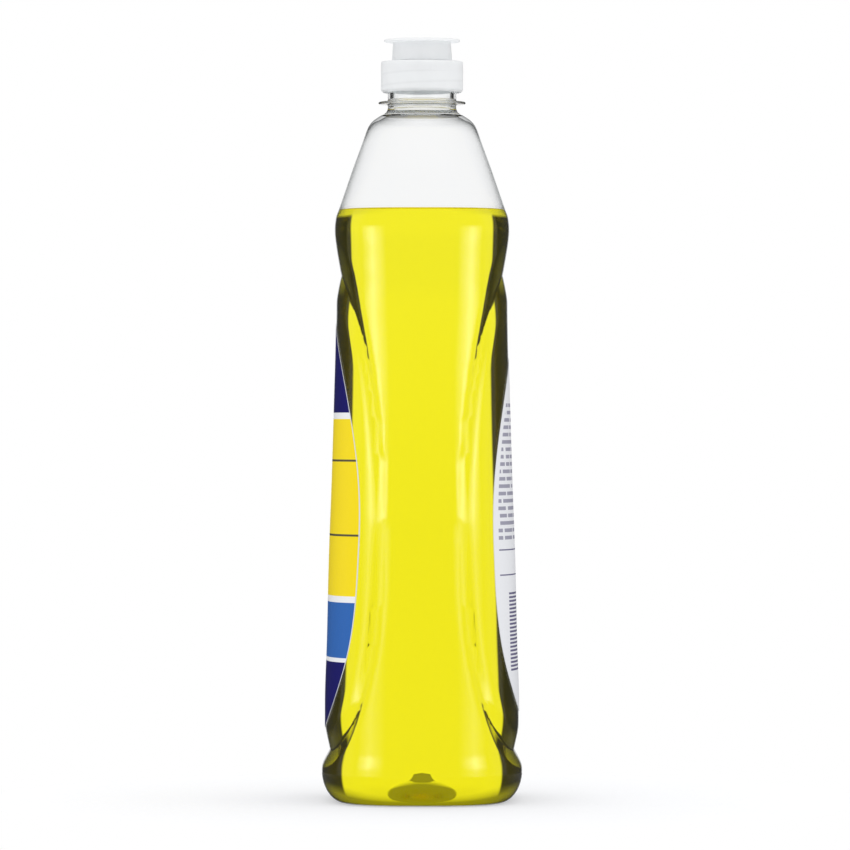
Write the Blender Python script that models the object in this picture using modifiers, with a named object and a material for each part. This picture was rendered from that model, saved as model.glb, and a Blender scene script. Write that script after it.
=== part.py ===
"""A filled dish soap bottle: clear blown body with oval label panels, soap, labels and a push-pull cap.

The frame: +Z up, origin at the middle of the foot, front label towards -Y, narrow sides at -X and +X.
"""

import math

import bmesh
import bpy
from mathutils import Vector

# Blown body, in metres
BODY_HEIGHT = 0.2553
BODY_DEPTH = 0.0744
BODY_WIDTH = 0.0988
FOOT_DEPTH = 0.0590
FOOT_WIDTH = 0.0864
FOOT_BAND = 0.0036
HEEL_HEIGHT = 0.0115
PUSH_UP_HEIGHT = 0.0085
GATE_RADIUS = 0.0028
GATE_HEIGHT = 0.0012
BODY_WALL = 0.0005
BASE_WALL = 0.0008

# Oval panel on each broad face, and the valley round it
PANEL_MIDDLE = 0.1040
PANEL_HEAD_MARGIN = 0.0608
PANEL_FOOT_MARGIN = 0.0190
PANEL_WRAP = math.radians(72.7)
CREASE_MARGIN = math.radians(0.1)
VALLEY_DEPTH = 0.0020
VALLEY_SHALLOWEST = 0.0004

# Neck finish
NECK_HEIGHT = 0.0159
NECK_RADIUS = 0.0127
NECK_ROOT_RADIUS = 0.0135
BORE_RADIUS = 0.0109
LIP_CHAMFER = 0.0005
RING_RADIUS = 0.0162
RING_THICKNESS = 0.0009
RING_DROP = 0.0119

# Soap
FILL_HEIGHT = 0.2188

# Labels
LABEL_THICKNESS = 0.00015
LABEL_MIDDLE_DROP = 0.0140
FRONT_LABEL_SIDE_CLEARANCE = 0.0039
FRONT_LABEL_HEAD_CLEARANCE = 0.0175
FRONT_LABEL_FOOT_CLEARANCE = 0.0080
BACK_LABEL_SIDE_CLEARANCE = 0.0071
BACK_LABEL_HEAD_CLEARANCE = 0.0305
BACK_LABEL_FOOT_CLEARANCE = 0.0140

# Cap collar
COLLAR_RADIUS = 0.01525
COLLAR_HEIGHT = 0.0115
COLLAR_EDGE = 0.0006
SKIRT_WALL = 0.00115
SKIRT_CHAMFER_RUN = 0.0008
SKIRT_CHAMFER_RISE = 0.0010
DECK_THICKNESS = 0.0016
TURRET_RADIUS = 0.0092
TURRET_WALL = 0.0012
TURRET_BEAD = 0.0005
TURRET_BEAD_HEIGHT = 0.0007
PLUG_RADIUS = 0.0019
PLUG_SHANK_RADIUS = 0.0029
PLUG_TIP_RADIUS = 0.0015
PLUG_TIP_DROP = 0.0005
SPOKE_COUNT = 3
SPOKE_WIDTH = 0.0016
SPOKE_HEIGHT = 0.0026
SPOKE_RISE = 0.0003

# Sealing ring
LINER_THICKNESS = 0.0009
LINER_BORE_RADIUS = 0.0100

# Sliding spout
SPOUT_HEIGHT = 0.0079
SPOUT_TOP_RADIUS = 0.0107
SPOUT_FOOT_RADIUS = 0.0112
SPOUT_PLATE = 0.0011
FLANGE_RADIUS = 0.0141
FLANGE_THICKNESS = 0.0009
SPOUT_FOOT_BEAD_HEIGHT = 0.0008
ORIFICE_RADIUS = 0.0022
ORIFICE_TUBE_WALL = 0.0011
ORIFICE_TUBE_LENGTH = 0.0014

# Fits
SEAT_GAP = 0.0003
WELD = 0.00001
OVERRUN = 0.0010

# Facets
COLUMNS = 8
PANEL_COLUMNS = 6
CAP_STEPS = 32
PLUG_STEPS = 16
OVAL_STEPS = 64
SHARP_ANGLE = math.radians(35.0)

# Heights that follow from the sizes above
panel_top = BODY_HEIGHT - PANEL_HEAD_MARGIN
panel_rise = panel_top - PANEL_MIDDLE
panel_fall = PANEL_MIDDLE - PANEL_FOOT_MARGIN
label_middle = PANEL_MIDDLE - LABEL_MIDDLE_DROP
lip_top = BODY_HEIGHT + NECK_HEIGHT
ring_top = lip_top - RING_DROP
liner_bottom = lip_top + SEAT_GAP
liner_top = liner_bottom + LINER_THICKNESS
deck_bottom = liner_top + SEAT_GAP
deck_top = deck_bottom + DECK_THICKNESS
collar_bottom = deck_top - COLLAR_HEIGHT
spout_bottom = deck_top + SEAT_GAP
spout_top = spout_bottom + SPOUT_HEIGHT
plate_bottom = spout_top - SPOUT_PLATE
turret_top = plate_bottom - SEAT_GAP
tube_bottom = plate_bottom - ORIFICE_TUBE_LENGTH

# Outline of the hull without its valleys: height, depth, width as shares of the body's, and the squareness
# of the section, which is 2 for an ellipse and grows towards a rectangle
hull_shares = (
    (0.0450, 1.000, 1.000, 3.0),
    (0.0530, 0.997, 0.998, 3.0),
    (0.0745, 0.972, 0.992, 3.0),
    (0.0920, 0.966, 0.989, 3.0),
    (0.1450, 0.965, 0.988, 3.0),
    (0.2310, 0.946, 0.988, 3.0),
    (0.3490, 0.927, 0.976, 3.0),
    (0.4660, 0.898, 0.950, 3.0),
    (0.5840, 0.874, 0.914, 3.0),
    (0.6700, 0.858, 0.882, 3.1),
    (0.7290, 0.853, 0.858, 3.2),
    (0.7750, 0.862, 0.845, 3.2),
    (0.8300, 0.871, 0.830, 3.2),
    (0.8460, 0.861, 0.812, 3.1),
    (0.8580, 0.832, 0.786, 3.0),
    (0.8740, 0.794, 0.752, 2.9),
    (0.9180, 0.691, 0.642, 2.7),
    (0.9600, 0.586, 0.512, 2.4),
    (0.9770, 0.543, 0.448, 2.2),
    (0.9860, 0.505, 0.398, 2.1),
    (0.9930, 0.445, 0.338, 2.0),
)

# Places of the rings: round the heel, from the heel to the panel, below and above its middle, and from the
# panel to the neck
heel_angle_shares = (0.0, 0.25, 0.55, 1.0)
heel_top_level_shares = (0.264, 0.562)
lower_panel_level_shares = (0.282, 0.636)
upper_panel_level_shares = (0.329, 0.674)
shoulder_level_shares = (0.063, 0.142, 0.221, 0.296, 0.354, 0.408, 0.528, 0.669, 0.801, 0.892, 0.936, 0.963,
                         0.983)

# Profile of the push-up: reach from its middle and height, as shares of its size
dome_shares = ((0.40, 0.90), (0.61, 0.47), (0.77, 0.12))

# How much of the neck's extra wall the body's last rings have, from the neck's root down
neck_wall_shares = (0.80, 0.45, 0.22, 0.08)

# The panel's outline is a superellipse over height and angle; the valley's two slopes are shares of its size
PANEL_UPPER_POWER = 2.2
PANEL_LOWER_POWER = 2.8
valley_above_share = 0.165
valley_below_share = 0.065
valley_inner_share = 0.09
valley_fade_power = 1.6

# The labels' outlines
LABEL_UPPER_POWER = 2.25
LABEL_LOWER_POWER = 2.9


def clear_scene():
    for old in list(bpy.data.objects):
        bpy.data.objects.remove(old, do_unlink=True)


def new_collection(name):
    collection = bpy.data.collections.new(name)
    bpy.context.scene.collection.children.link(collection)
    return collection


def make_material(name, color, roughness, transmission=0.0, ior=1.5):
    material = bpy.data.materials.new(name)
    material.use_nodes = True
    shader = material.node_tree.nodes["Principled BSDF"]
    shader.inputs["Base Color"].default_value = (*color, 1.0)
    shader.inputs["Roughness"].default_value = roughness
    shader.inputs["Metallic"].default_value = 0.0
    shader.inputs["IOR"].default_value = ior
    shader.inputs["Transmission Weight"].default_value = transmission
    return material


def add_object(name, mesh, collection, material=None):
    thing = bpy.data.objects.new(name, mesh)
    collection.objects.link(thing)
    if material is not None:
        mesh.materials.append(material)
    return thing


def finish_mesh(form, name):
    """Turns a bmesh into a mesh with its faces pointing out and its round sides smooth."""
    bmesh.ops.recalc_face_normals(form, faces=form.faces)
    mesh = bpy.data.meshes.new(name)
    form.to_mesh(mesh)
    form.free()
    mesh.shade_smooth()
    mesh.set_sharp_from_angle(angle=SHARP_ANGLE)
    return mesh


def ease(shares, at, column):
    """Smooth value of one column of a table at a place between its rows, without overshoot."""
    rows = [(row[0], row[column]) for row in shares]
    slopes = [(b[1] - a[1]) / (b[0] - a[0]) for a, b in zip(rows, rows[1:])]
    bends = [slopes[0]]
    for before, after in zip(slopes, slopes[1:]):
        bends.append(0.0 if before * after <= 0.0 else 2.0 * before * after / (before + after))
    bends.append(slopes[-1])
    for index, (low, high) in enumerate(zip(rows, rows[1:])):
        if at <= high[0] or index == len(slopes) - 1:
            span = high[0] - low[0]
            t = (at - low[0]) / span
            return (low[1] * (1.0 + 2.0 * t) * (1.0 - t) ** 2 + high[1] * t * t * (3.0 - 2.0 * t)
                    + bends[index] * span * t * (1.0 - t) ** 2 - bends[index + 1] * span * t * t * (1.0 - t))


def hull_section(height):
    """Half depth, half width and squareness of the body at a height."""
    first = hull_shares[0]
    share = height / BODY_HEIGHT
    if height < HEEL_HEIGHT:
        turn = math.sqrt(1.0 - (1.0 - height / HEEL_HEIGHT) ** 2)
        depth = FOOT_DEPTH + (BODY_DEPTH * first[1] - FOOT_DEPTH) * turn
        width = FOOT_WIDTH + (BODY_WIDTH * first[2] - FOOT_WIDTH) * turn
        return depth / 2.0, width / 2.0, first[3]
    last = hull_shares[-1]
    if share > last[0]:
        blend = (share - last[0]) / (1.0 - last[0])
        depth = BODY_DEPTH * last[1] / 2.0 + (NECK_ROOT_RADIUS - BODY_DEPTH * last[1] / 2.0) * blend
        width = BODY_WIDTH * last[2] / 2.0 + (NECK_ROOT_RADIUS - BODY_WIDTH * last[2] / 2.0) * blend
        return depth, width, last[3]
    return (BODY_DEPTH * ease(hull_shares, share, 1) / 2.0, BODY_WIDTH * ease(hull_shares, share, 2) / 2.0,
            ease(hull_shares, share, 3))


def panel_place(height):
    """Share of the panel's half at which a height lies, and the outline's power there."""
    if height >= PANEL_MIDDLE:
        return (height - PANEL_MIDDLE) / panel_rise, PANEL_UPPER_POWER
    return (PANEL_MIDDLE - height) / panel_fall, PANEL_LOWER_POWER


def crease_height(column, rising):
    """Height at which the panel's outline crosses a column of the body's grid."""
    power = PANEL_UPPER_POWER if rising else PANEL_LOWER_POWER
    reach = (1.0 - (column / PANEL_COLUMNS) ** power) ** (1.0 / power)
    return PANEL_MIDDLE + panel_rise * reach if rising else PANEL_MIDDLE - panel_fall * reach


def column_angles(height):
    """Angles of a quarter's columns from the broad face to the narrow side, one of them on the crease."""
    angles = [PANEL_WRAP * column / PANEL_COLUMNS for column in range(PANEL_COLUMNS + 1)]
    strip_columns = COLUMNS - PANEL_COLUMNS
    strip = math.pi / 2.0 - PANEL_WRAP
    angles += [PANEL_WRAP + strip * step / strip_columns for step in range(1, strip_columns + 1)]
    place, power = panel_place(height)
    if place < 1.0:
        crease = PANEL_WRAP * (1.0 - place ** power) ** (1.0 / power)
        if crease > angles[PANEL_COLUMNS - 1] + CREASE_MARGIN:
            angles[PANEL_COLUMNS] = crease
    return angles


def valley(height, angle):
    """Depth of the valley below the hull at a height and a quarter angle."""
    place, power = panel_place(height)
    reach = ((angle / PANEL_WRAP) ** power + place ** power) ** (1.0 / power)
    outer_share = valley_above_share if height >= PANEL_MIDDLE else valley_below_share
    slope = outer_share if reach > 1.0 else valley_inner_share
    near = max(0.0, 1.0 - abs(reach - 1.0) / slope)
    deepest = VALLEY_SHALLOWEST + (VALLEY_DEPTH - VALLEY_SHALLOWEST) * min(1.0, place) ** valley_fade_power
    return deepest * near


def ring_at(height, depth, width, squareness, grooved):
    """One ring of the body, counted from +Y round through +X."""
    angles = column_angles(height)
    count = 4 * COLUMNS
    ring = []
    for index in range(count):
        column = min(index % (2 * COLUMNS), 2 * COLUMNS - index % (2 * COLUMNS))
        angle = angles[column]
        side = 0.0 if index % (2 * COLUMNS) == 0 else (1.0 if index < 2 * COLUMNS else -1.0)
        face = 0.0 if column == COLUMNS else (1.0 if index < COLUMNS or index > 3 * COLUMNS else -1.0)
        x = width * max(0.0, math.sin(angle)) ** (2.0 / squareness)
        y = depth * max(0.0, math.cos(angle)) ** (2.0 / squareness)
        if grooved:
            outward = Vector((abs(x / width) ** (squareness - 1.0) / width,
                              abs(y / depth) ** (squareness - 1.0) / depth)).normalized()
            x -= outward.x * valley(height, angle)
            y -= outward.y * valley(height, angle)
        ring.append(Vector((side * x, face * y, height)))
    return ring


def base_rings():
    """Rings of the push-up, from its crown out to the inner edge of the foot."""
    squareness = hull_shares[0][3]
    depth = FOOT_DEPTH / 2.0 - FOOT_BAND
    width = FOOT_WIDTH / 2.0 - FOOT_BAND
    rings = [ring_at(PUSH_UP_HEIGHT, GATE_RADIUS, GATE_RADIUS, 2.0, False)]
    for share, rise_share in dome_shares:
        height = PUSH_UP_HEIGHT * rise_share
        rings.append(ring_at(height, depth * share, width * share, 2.0 + (squareness - 2.0) * share, False))
    rings.append(ring_at(0.0, depth, width, squareness, False))
    return rings


def between(low, high, shares):
    return [low + (high - low) * share for share in shares]


def body_heights():
    """Heights of the body's rings, from the foot to the root of the neck."""
    lower_creases = [crease_height(column, False) for column in range(1, PANEL_COLUMNS)]
    upper_creases = [crease_height(column, True) for column in range(PANEL_COLUMNS - 1, 0, -1)]
    heights = [HEEL_HEIGHT * (1.0 - math.cos(math.pi / 2.0 * share)) for share in heel_angle_shares]
    heights += between(HEEL_HEIGHT, lower_creases[0], heel_top_level_shares)
    heights += lower_creases
    heights += between(lower_creases[-1], PANEL_MIDDLE, lower_panel_level_shares)
    heights.append(PANEL_MIDDLE)
    heights += between(PANEL_MIDDLE, upper_creases[0], upper_panel_level_shares)
    heights += upper_creases
    heights += between(upper_creases[-1], BODY_HEIGHT, shoulder_level_shares)
    heights.append(BODY_HEIGHT)
    return heights


def body_rings():
    return [ring_at(height, *hull_section(height), True) for height in body_heights()]


def neck_rings():
    """Rings of the neck's outside above its root, with the support ring."""
    ring_bottom = ring_top - RING_THICKNESS
    fillet = RING_THICKNESS / 3.0
    collar = RING_RADIUS - NECK_RADIUS
    outline = (
        (BODY_HEIGHT + LIP_CHAMFER * 2.0, NECK_RADIUS + fillet),
        (ring_bottom - fillet, NECK_RADIUS),
        (ring_bottom, NECK_RADIUS + collar / 4.0),
        (ring_bottom + fillet / 2.0, RING_RADIUS),
        (ring_top - fillet / 2.0, RING_RADIUS),
        (ring_top + fillet, NECK_RADIUS + collar / 6.0),
        (ring_top + RING_THICKNESS, NECK_RADIUS),
        (lip_top - LIP_CHAMFER, NECK_RADIUS),
        (lip_top, NECK_RADIUS - LIP_CHAMFER),
    )
    return [ring_at(height, radius, radius, 2.0, False) for height, radius in outline]


def bore_rings():
    """Rings of the neck's inside, from the lip down."""
    outline = (
        (lip_top, BORE_RADIUS + LIP_CHAMFER),
        (lip_top - LIP_CHAMFER, BORE_RADIUS),
        (BODY_HEIGHT, BORE_RADIUS),
    )
    return [ring_at(height, radius, radius, 2.0, False) for height, radius in outline]


def add_rings(form, rings):
    return [[form.verts.new(point) for point in ring] for ring in rings]


def bridge(form, low, high, rising):
    """Joins two rings with triangles whose long edges run the way the crease runs."""
    count = len(low)
    for index in range(count):
        after = (index + 1) % count
        towards_side = index % (2 * COLUMNS) < COLUMNS
        if towards_side == rising:
            form.faces.new((low[index], low[after], high[index]))
            form.faces.new((high[index], low[after], high[after]))
        else:
            form.faces.new((low[index], low[after], high[after]))
            form.faces.new((low[index], high[after], high[index]))


def bridge_all(form, rings):
    for low, high in zip(rings, rings[1:]):
        bridge(form, low, high, low[0].co.z >= PANEL_MIDDLE)


def cap_ring(form, ring, centre):
    middle = form.verts.new(centre)
    for index, vertex in enumerate(ring):
        form.faces.new((middle, vertex, ring[(index + 1) % len(ring)]))


def skin_rings():
    """The bottle's outside from the push-up's crown to the neck's root."""
    return base_rings() + body_rings()


def offset_rings(insets):
    """The outside skin moved along its normals, inwards by one inset for each ring."""
    form = bmesh.new()
    rings = add_rings(form, skin_rings())
    bridge_all(form, rings)
    cap_ring(form, rings[0], (0.0, 0.0, PUSH_UP_HEIGHT))
    bmesh.ops.recalc_face_normals(form, faces=form.faces)
    form.normal_update()
    outward = 1.0 if rings[len(rings) // 2][0].normal.y > 0.0 else -1.0
    moved = []
    for ring, inset in zip(rings, insets):
        moved.append([vertex.co - vertex.normal * (outward * inset * vertex.calc_shell_factor())
                      for vertex in ring])
    form.free()
    return moved


def wall_at(index, count):
    """Wall of the blown body: thick in the push-up, thin above, and growing into the neck."""
    base_count = len(dome_shares) + 2
    if index < base_count:
        return BASE_WALL
    from_top = count - 1 - index
    neck_wall = NECK_ROOT_RADIUS - BORE_RADIUS
    if from_top < len(neck_wall_shares):
        return BODY_WALL + (neck_wall - BODY_WALL) * neck_wall_shares[from_top]
    return BODY_WALL


def build_bottle(parts, material):
    form = bmesh.new()
    skin = skin_rings()
    walls = [wall_at(index, len(skin)) for index in range(len(skin))]
    outside = add_rings(form, skin + neck_rings())
    inner = offset_rings(walls)[:-1]
    inside = add_rings(form, inner + list(reversed(bore_rings())))
    bridge_all(form, outside)
    bridge_all(form, inside)
    bridge(form, outside[-1], inside[-1], True)
    cap_ring(form, outside[0], (0.0, 0.0, PUSH_UP_HEIGHT))
    cap_ring(form, inside[0], (0.0, 0.0, PUSH_UP_HEIGHT + BASE_WALL + GATE_HEIGHT))
    return add_object("bottle", finish_mesh(form, "bottle"), parts, material)


def build_soap(parts, material):
    """The inside of the bottle and its neck, a gap clear of the wall and cut off at the fill level."""
    form = bmesh.new()
    count = len(skin_rings())
    insets = [wall_at(index, count) + SEAT_GAP for index in range(count)]
    column = BORE_RADIUS - SEAT_GAP
    rings = offset_rings(insets)[:-1]
    rings += [ring_at(height, column, column, 2.0, False) for height in (BODY_HEIGHT, lip_top)]
    rows = add_rings(form, rings)
    bridge_all(form, rows)
    cap_ring(form, rows[0], (0.0, 0.0, PUSH_UP_HEIGHT + BASE_WALL + GATE_HEIGHT + SEAT_GAP))
    whole = form.verts[:] + form.edges[:] + form.faces[:]
    bmesh.ops.bisect_plane(form, geom=whole, plane_co=(0.0, 0.0, FILL_HEIGHT), plane_no=(0.0, 0.0, 1.0),
                           clear_outer=True)
    rim = [edge for edge in form.edges if edge.is_boundary]
    bmesh.ops.edgeloop_fill(form, edges=rim)
    return add_object("soap", finish_mesh(form, "soap"), parts, material)


def oval_cutter(name, cutters, side, side_clearance, head_clearance, foot_clearance):
    """An upright oval prism that stands in front of one broad face, to die-cut a label."""
    form = bmesh.new()
    near = BODY_DEPTH / 8.0
    far = BODY_DEPTH / 2.0 + OVERRUN
    _, half_width, squareness = hull_section(label_middle)
    reach_across = half_width * math.sin(PANEL_WRAP) ** (2.0 / squareness) - side_clearance
    rise = panel_top - head_clearance - label_middle
    fall = label_middle - PANEL_FOOT_MARGIN - foot_clearance
    loops = []
    for reach in (near, far):
        loop = []
        for step in range(OVAL_STEPS):
            turn = 2.0 * math.pi * step / OVAL_STEPS
            power = LABEL_UPPER_POWER if math.sin(turn) >= 0.0 else LABEL_LOWER_POWER
            half_height = rise if math.sin(turn) >= 0.0 else fall
            x = math.copysign(abs(math.cos(turn)) ** (2.0 / power), math.cos(turn)) * reach_across
            z = math.copysign(abs(math.sin(turn)) ** (2.0 / power), math.sin(turn)) * half_height
            loop.append(form.verts.new((x, side * reach, label_middle + z)))
        loops.append(loop)
    for step in range(OVAL_STEPS):
        after = (step + 1) % OVAL_STEPS
        form.faces.new((loops[0][step], loops[0][after], loops[1][after], loops[1][step]))
    form.faces.new(loops[0])
    form.faces.new(loops[1])
    return hide_tool(add_object(name, finish_mesh(form, name), cutters))


def hide_tool(tool):
    tool.hide_render = True
    tool.display_type = "WIRE"
    return tool


def build_label(name, side, clearances, parts, cutters, material):
    """A film that lies on one panel: the panel's own grid, lifted off and cut to an oval."""
    form = bmesh.new()
    count = len(skin_rings())
    first = len(dome_shares) + 2 + len(heel_angle_shares) + len(heel_top_level_shares) + 1
    last = first + 2 * PANEL_COLUMNS + 1
    wrap = PANEL_COLUMNS - 1
    ring_size = 4 * COLUMNS
    middle = 0 if side > 0.0 else 2 * COLUMNS
    columns = [(middle + step) % ring_size for step in range(-wrap, wrap + 1)]
    sheets = []
    for lift in (SEAT_GAP, SEAT_GAP + LABEL_THICKNESS):
        rings = offset_rings([-lift] * count)[first:last + 1]
        sheets.append([[form.verts.new(ring[column]) for column in columns] for ring in rings])
    for rows in sheets:
        for low, high in zip(rows, rows[1:]):
            rising = low[wrap].co.z >= PANEL_MIDDLE
            for index in range(2 * wrap):
                towards_side = index >= wrap
                if towards_side == rising:
                    form.faces.new((low[index], low[index + 1], high[index]))
                    form.faces.new((high[index], low[index + 1], high[index + 1]))
                else:
                    form.faces.new((low[index], low[index + 1], high[index + 1]))
                    form.faces.new((low[index], high[index + 1], high[index]))
    under, over = sheets
    for row_under, row_over in ((under[0], over[0]), (under[-1], over[-1])):
        for index in range(2 * wrap):
            form.faces.new((row_under[index], row_under[index + 1], row_over[index + 1], row_over[index]))
    for index in (0, 2 * wrap):
        for level in range(len(under) - 1):
            form.faces.new((under[level][index], under[level + 1][index],
                            over[level + 1][index], over[level][index]))
    label = add_object(name, finish_mesh(form, name), parts, material)
    cut = label.modifiers.new("die_cut", "BOOLEAN")
    cut.operation = "INTERSECT"
    cut.solver = "EXACT"
    cut.object = oval_cutter(name + "_oval", cutters, side, *clearances)
    return label


def turned(name, outline, steps, collection, material=None, closed=True):
    """A solid of revolution about Z from an outline of radius and height, down its outer side."""
    mesh = bpy.data.meshes.new(name)
    points = [(radius, 0.0, height) for radius, height in outline]
    edges = [(index, index + 1) for index in range(len(points) - 1)]
    if closed:
        edges.append((len(points) - 1, 0))
    mesh.from_pydata(points, edges, [])
    thing = add_object(name, mesh, collection, material)
    screw = thing.modifiers.new("turn", "SCREW")
    screw.axis = "Z"
    screw.angle = 2.0 * math.pi
    screw.steps = steps
    screw.render_steps = steps
    screw.use_merge_vertices = True
    screw.merge_threshold = WELD
    screw.use_normal_calculate = closed
    return thing


def settle(thing):
    """Keeps what a modifier made as the mesh itself, smooth with sharp edges."""
    bpy.context.view_layer.update()
    evaluated = thing.evaluated_get(bpy.context.evaluated_depsgraph_get())
    mesh = bpy.data.meshes.new_from_object(evaluated)
    thing.modifiers.clear()
    thing.data = mesh
    form = bmesh.new()
    form.from_mesh(mesh)
    bmesh.ops.recalc_face_normals(form, faces=form.faces)
    form.to_mesh(mesh)
    form.free()
    mesh.shade_smooth()
    mesh.set_sharp_from_angle(angle=SHARP_ANGLE)
    return thing


def join(body, tool):
    union = body.modifiers.new(tool.name, "BOOLEAN")
    union.operation = "UNION"
    union.solver = "EXACT"
    union.object = tool


def build_collar(parts, cutters, material):
    """The cap's base: threaded skirt, deck, turret with a bead, and a centre plug on three spokes."""
    skirt_bore = COLLAR_RADIUS - SKIRT_WALL
    turret_bore = TURRET_RADIUS - TURRET_WALL
    bead = TURRET_RADIUS + TURRET_BEAD
    outline = (
        (turret_bore, turret_top),
        (bead - TURRET_BEAD, turret_top),
        (bead, turret_top - TURRET_BEAD_HEIGHT / 2.0),
        (bead, turret_top - TURRET_BEAD_HEIGHT),
        (TURRET_RADIUS, turret_top - TURRET_BEAD_HEIGHT),
        (TURRET_RADIUS, deck_top),
        (COLLAR_RADIUS - COLLAR_EDGE, deck_top),
        (COLLAR_RADIUS, deck_top - COLLAR_EDGE),
        (COLLAR_RADIUS, collar_bottom + SKIRT_CHAMFER_RISE),
        (COLLAR_RADIUS - SKIRT_CHAMFER_RUN, collar_bottom),
        (skirt_bore + COLLAR_EDGE / 4.0, collar_bottom),
        (skirt_bore, collar_bottom + COLLAR_EDGE / 4.0),
        (skirt_bore, deck_bottom),
        (turret_bore, deck_bottom),
    )
    collar = turned("cap_collar", outline, CAP_STEPS, parts, material)
    settle(collar)
    plug_top = spout_top - PLUG_TIP_DROP
    shoulder = tube_bottom - SEAT_GAP
    plug_outline = (
        (0.0, plug_top),
        (PLUG_TIP_RADIUS, plug_top),
        (PLUG_RADIUS, plug_top - PLUG_TIP_DROP),
        (PLUG_RADIUS, shoulder),
        (PLUG_SHANK_RADIUS, shoulder),
        (PLUG_SHANK_RADIUS, deck_bottom),
        (0.0, deck_bottom),
    )
    plug = hide_tool(settle(turned("plug", plug_outline, PLUG_STEPS, cutters, closed=False)))
    for number in range(SPOKE_COUNT):
        turn = 2.0 * math.pi * number / SPOKE_COUNT
        length = TURRET_RADIUS - TURRET_WALL / 2.0
        form = bmesh.new()
        bmesh.ops.create_cube(form, size=1.0)
        bmesh.ops.scale(form, vec=(length, SPOKE_WIDTH, SPOKE_HEIGHT), verts=form.verts)
        mesh = finish_mesh(form, f"spoke_{number + 1}")
        spoke = hide_tool(add_object(f"spoke_{number + 1}", mesh, cutters))
        spoke.location = (math.cos(turn) * length / 2.0, math.sin(turn) * length / 2.0,
                          deck_bottom + SPOKE_RISE + SPOKE_HEIGHT / 2.0)
        spoke.rotation_euler = (0.0, 0.0, turn)
        join(plug, spoke)
    join(collar, plug)
    return collar


def build_liner(parts, material):
    """The sealing ring between the bottle's lip and the deck."""
    outer = COLLAR_RADIUS - SKIRT_WALL - SEAT_GAP
    outline = (
        (LINER_BORE_RADIUS, liner_top),
        (outer, liner_top),
        (outer, liner_bottom),
        (LINER_BORE_RADIUS, liner_bottom),
    )
    return settle(turned("cap_liner", outline, CAP_STEPS, parts, material))


def build_spout(parts, material):
    """The sliding top: grip flange, tapered wall with a catch bead at its foot, and the orifice."""
    bore = TURRET_RADIUS + TURRET_BEAD + SEAT_GAP
    foot_bore = TURRET_RADIUS + SEAT_GAP
    tube = ORIFICE_RADIUS + ORIFICE_TUBE_WALL
    flange_edge = FLANGE_THICKNESS / 3.0
    bead_top = spout_bottom + SPOUT_FOOT_BEAD_HEIGHT
    outline = (
        (ORIFICE_RADIUS, spout_top - flange_edge),
        (ORIFICE_RADIUS + flange_edge, spout_top),
        (FLANGE_RADIUS - flange_edge, spout_top),
        (FLANGE_RADIUS, spout_top - flange_edge),
        (FLANGE_RADIUS, spout_top - FLANGE_THICKNESS + flange_edge),
        (FLANGE_RADIUS - flange_edge, spout_top - FLANGE_THICKNESS),
        (SPOUT_TOP_RADIUS + flange_edge, spout_top - FLANGE_THICKNESS),
        (SPOUT_TOP_RADIUS, spout_top - FLANGE_THICKNESS - flange_edge),
        (SPOUT_FOOT_RADIUS, spout_bottom),
        (foot_bore + flange_edge, spout_bottom),
        (foot_bore, spout_bottom + flange_edge),
        (foot_bore, bead_top),
        (bore, bead_top + flange_edge),
        (bore, plate_bottom),
        (tube, plate_bottom),
        (tube, tube_bottom),
        (ORIFICE_RADIUS, tube_bottom),
    )
    spout = settle(turned("pull_spout", outline, CAP_STEPS, parts, material))
    return spout


def build():
    clear_scene()
    parts = new_collection("dish_soap_bottle")
    cutters = new_collection("cutters")
    clear_pet = make_material("clear_pet", (0.93, 0.95, 0.96), 0.03, 1.0, 1.57)
    yellow_soap = make_material("yellow_soap", (0.92, 0.87, 0.03), 0.02, 0.9, 1.36)
    cap_plastic = make_material("cap_plastic", (0.86, 0.88, 0.90), 0.32)
    spout_plastic = make_material("spout_plastic", (0.90, 0.92, 0.93), 0.30)
    liner_foam = make_material("liner_foam", (0.90, 0.90, 0.88), 0.80)
    front_print = make_material("front_print", (0.020, 0.018, 0.150), 0.35)
    back_print = make_material("back_print", (0.88, 0.89, 0.91), 0.40)
    build_bottle(parts, clear_pet)
    build_soap(parts, yellow_soap)
    front_clearances = (FRONT_LABEL_SIDE_CLEARANCE, FRONT_LABEL_HEAD_CLEARANCE, FRONT_LABEL_FOOT_CLEARANCE)
    back_clearances = (BACK_LABEL_SIDE_CLEARANCE, BACK_LABEL_HEAD_CLEARANCE, BACK_LABEL_FOOT_CLEARANCE)
    build_label("front_label", -1.0, front_clearances, parts, cutters, front_print)
    build_label("back_label", 1.0, back_clearances, parts, cutters, back_print)
    build_collar(parts, cutters, cap_plastic)
    build_liner(parts, liner_foam)
    build_spout(parts, spout_plastic)


build()
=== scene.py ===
import math

import bmesh
import bpy
import numpy as np
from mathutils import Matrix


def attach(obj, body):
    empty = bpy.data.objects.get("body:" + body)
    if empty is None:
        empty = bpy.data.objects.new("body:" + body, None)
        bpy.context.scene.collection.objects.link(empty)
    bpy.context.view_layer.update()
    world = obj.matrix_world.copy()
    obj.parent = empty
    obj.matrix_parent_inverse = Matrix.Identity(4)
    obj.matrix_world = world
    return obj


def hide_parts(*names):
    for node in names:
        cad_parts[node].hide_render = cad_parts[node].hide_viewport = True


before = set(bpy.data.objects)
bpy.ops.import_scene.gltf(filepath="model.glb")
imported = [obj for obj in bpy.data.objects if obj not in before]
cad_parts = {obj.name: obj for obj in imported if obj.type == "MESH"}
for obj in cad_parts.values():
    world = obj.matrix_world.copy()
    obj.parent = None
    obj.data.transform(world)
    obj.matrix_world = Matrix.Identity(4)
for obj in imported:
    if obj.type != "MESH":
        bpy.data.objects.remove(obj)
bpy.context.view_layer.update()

scene = bpy.context.scene

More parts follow.
